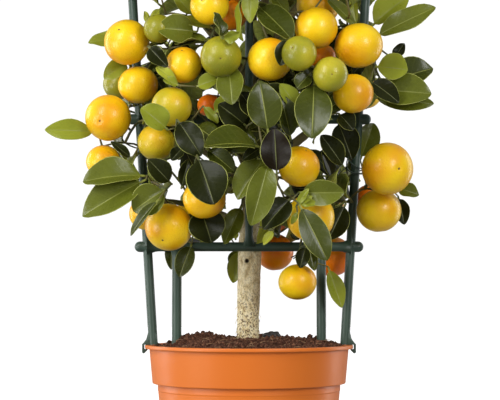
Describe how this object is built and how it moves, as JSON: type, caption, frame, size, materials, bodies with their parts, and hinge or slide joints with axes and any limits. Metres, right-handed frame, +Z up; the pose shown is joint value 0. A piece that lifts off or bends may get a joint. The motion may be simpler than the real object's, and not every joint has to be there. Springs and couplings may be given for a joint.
{
  "type": "potted calamondin orange tree",
  "caption": "Small fruiting citrus tree in a round nursery pot, its boughs spread on a moulded trellis that clips on the rim.",
  "frame": {"origin": "middle of the pot's flat underside", "axes": "+Z up along the pot's axis, +X along the trellis rungs to the right seen from the front, -Y towards the front"},
  "size_m": [0.3279, 0.2933, 0.5978],
  "materials": {
    "terracotta_plastic": "satin moulded",
    "peat": "crumbly matt",
    "bark": "rough matt",
    "green_plastic": "satin moulded",
    "foliage": "glossy leaf"
  },
  "bodies": {
    "root": {"bough_low_back_left": "bark", "bough_low_back_right": "bark", "bough_low_front": "bark", "bough_low_left": "bark", "bough_low_right": "bark", "bough_mid_back": "bark", "bough_mid_front": "bark", "bough_mid_left": "bark", "bough_mid_right": "bark", "bough_top": "bark", "bough_upper_back": "bark", "bough_upper_front": "bark", "bough_upper_left": "bark", "bough_upper_right": "bark", "mass_low_back_left": "foliage", "mass_low_back_right": "foliage", "mass_low_front": "foliage", "mass_low_left": "foliage", "mass_low_right": "foliage", "mass_mid_back": "foliage", "mass_mid_front": "foliage", "mass_mid_left": "foliage", "mass_mid_right": "foliage", "mass_top": "foliage", "mass_upper_back": "foliage", "mass_upper_front": "foliage", "mass_upper_left": "foliage", "mass_upper_right": "foliage", "pot": "terracotta_plastic", "soil": "peat", "trellis_inner_left": "green_plastic", "trellis_inner_right": "green_plastic", "trellis_leg_left": "green_plastic", "trellis_leg_right": "green_plastic", "trellis_middle": "green_plastic", "trellis_rung_1": "green_plastic", "trellis_rung_2_left": "green_plastic", "trellis_rung_2_right": "green_plastic", "trellis_rung_3_left": "green_plastic", "trellis_rung_3_right": "green_plastic", "trellis_rung_4_left": "green_plastic", "trellis_rung_4_right": "green_plastic", "trunk": "bark"}
  },
  "joints": []
}
